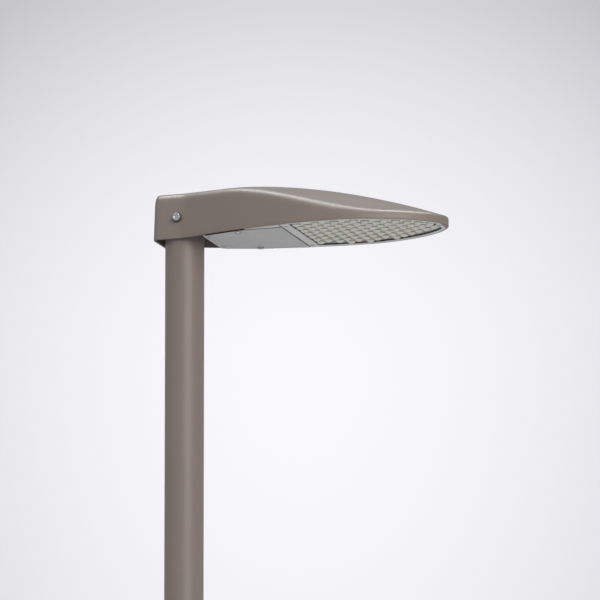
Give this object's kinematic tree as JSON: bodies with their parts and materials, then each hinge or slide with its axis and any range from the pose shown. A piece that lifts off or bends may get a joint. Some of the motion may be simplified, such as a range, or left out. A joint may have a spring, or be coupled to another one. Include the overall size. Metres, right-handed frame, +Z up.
{
  "type": "street lamp post",
  "caption": "Stepped steel street lamp post with base plate, service door and a teardrop LED head on a tilt joint.",
  "frame": {"origin": "on the ground at the post's axis, in the underside of the base plate", "axes": "+Z up along the post, +X from the post towards the head's nose, -Y on the service door's side"},
  "size_m": [0.694, 0.32, 4.1],
  "materials": {
    "post_paint": "satin powder coat, warm grey-brown",
    "canopy_paint": "die-cast, satin powder coat, warm grey-brown",
    "cover_paint": "satin grey powder coat",
    "casting": "light grey coat, fine cast texture",
    "dark_coat": "dark grey coat, fine texture",
    "zinc_steel": "zinc plated",
    "stainless": "stainless, machined",
    "black_plastic": "moulded, fine grain",
    "grey_plastic": "moulded",
    "cream_plastic": "moulded",
    "white_ceramic": "glazed",
    "seal_rubber": "matt silicone",
    "cable_sheath": "matt",
    "white_sheath": "satin",
    "lens_acrylic": "clear moulded acrylic",
    "board_white": "white solder mask",
    "chip_yellow": "phosphor-coated emitter",
    "driver_case": "moulded case",
    "surge_red": "moulded case"
  },
  "bodies": {
    "post": {"base_plate": "post_paint", "lower_shaft": "post_paint", "reducer_cone": "post_paint", "upper_shaft": "post_paint", "door_frame": "zinc_steel", "equipment_rail": "zinc_steel", "terminal_box": "black_plastic", "terminal_box_cover": "grey_plastic", "box_screws": "zinc_steel", "cable_terminals": "cream_plastic", "fuse_base": "white_ceramic", "box_gland": "black_plastic", "earth_stud": "stainless", "pole_cable": "cable_sheath", "mast_adapter": "dark_coat", "pivot_screws": "stainless", "tilt_washers": "black_plastic"},
    "door": {"door": "post_paint", "door_screws": "stainless"},
    "fuse_carrier": {"fuse_carrier": "black_plastic", "fuse_link": "white_ceramic"},
    "head": {"canopy": "canopy_paint", "rear_bulkhead": "casting", "front_bulkhead": "casting", "cable_gland": "black_plastic", "head_cable": "cable_sheath", "gear_frame": "casting", "cover_gasket": "seal_rubber", "hinge_pins": "stainless", "gear_tray": "zinc_steel", "tray_posts": "zinc_steel", "led_driver": "driver_case", "driver_screws": "zinc_steel", "surge_protector": "surge_red", "head_terminals": "cream_plastic", "led_cable": "white_sheath", "led_grommet": "seal_rubber", "lens_frame": "casting", "lens_gasket": "seal_rubber", "lens_plate": "lens_acrylic", "led_board": "board_white", "led_chips": "chip_yellow", "heat_spreader": "casting", "frame_screws": "stainless", "vent_plug": "black_plastic"},
    "gear_cover": {"gear_cover": "cover_paint", "cover_screws": "stainless"},
    "latch_left": {"latch_left": "stainless"},
    "latch_right": {"latch_right": "stainless"}
  },
  "joints": [
    {"name": "door_lift_off", "type": "slide", "parent": "post", "child": "door", "axis": [0, -1, 0], "range_m": [0, 0.15]},
    {"name": "fuse_carrier_swing", "type": "hinge", "parent": "post", "child": "fuse_carrier", "pos_m": [0, 0.00261, 0.738], "axis": [1, 0, 0], "range_deg": [0, 60]},
    {"name": "head_tilt", "type": "hinge", "parent": "post", "child": "head", "pos_m": [0, 0, 4.041], "axis": [0, -1, 0], "range_deg": [0, 10]},
    {"name": "cover_hinge", "type": "hinge", "parent": "head", "child": "gear_cover", "pos_m": [0.22127, 0, 4.0032], "axis": [0, -1, 0], "range_deg": [0, 85]},
    {"name": "latch_left_turn", "type": "hinge", "parent": "gear_cover", "child": "latch_left", "pos_m": [0.13177, 0.07302, 3.998], "axis": [0, 0, 1], "range_deg": [0, 90]},
    {"name": "latch_right_turn", "type": "hinge", "parent": "gear_cover", "child": "latch_right", "pos_m": [0.13177, -0.07302, 3.998], "axis": [0, 0, 1], "range_deg": [0, 90]}
  ]
}
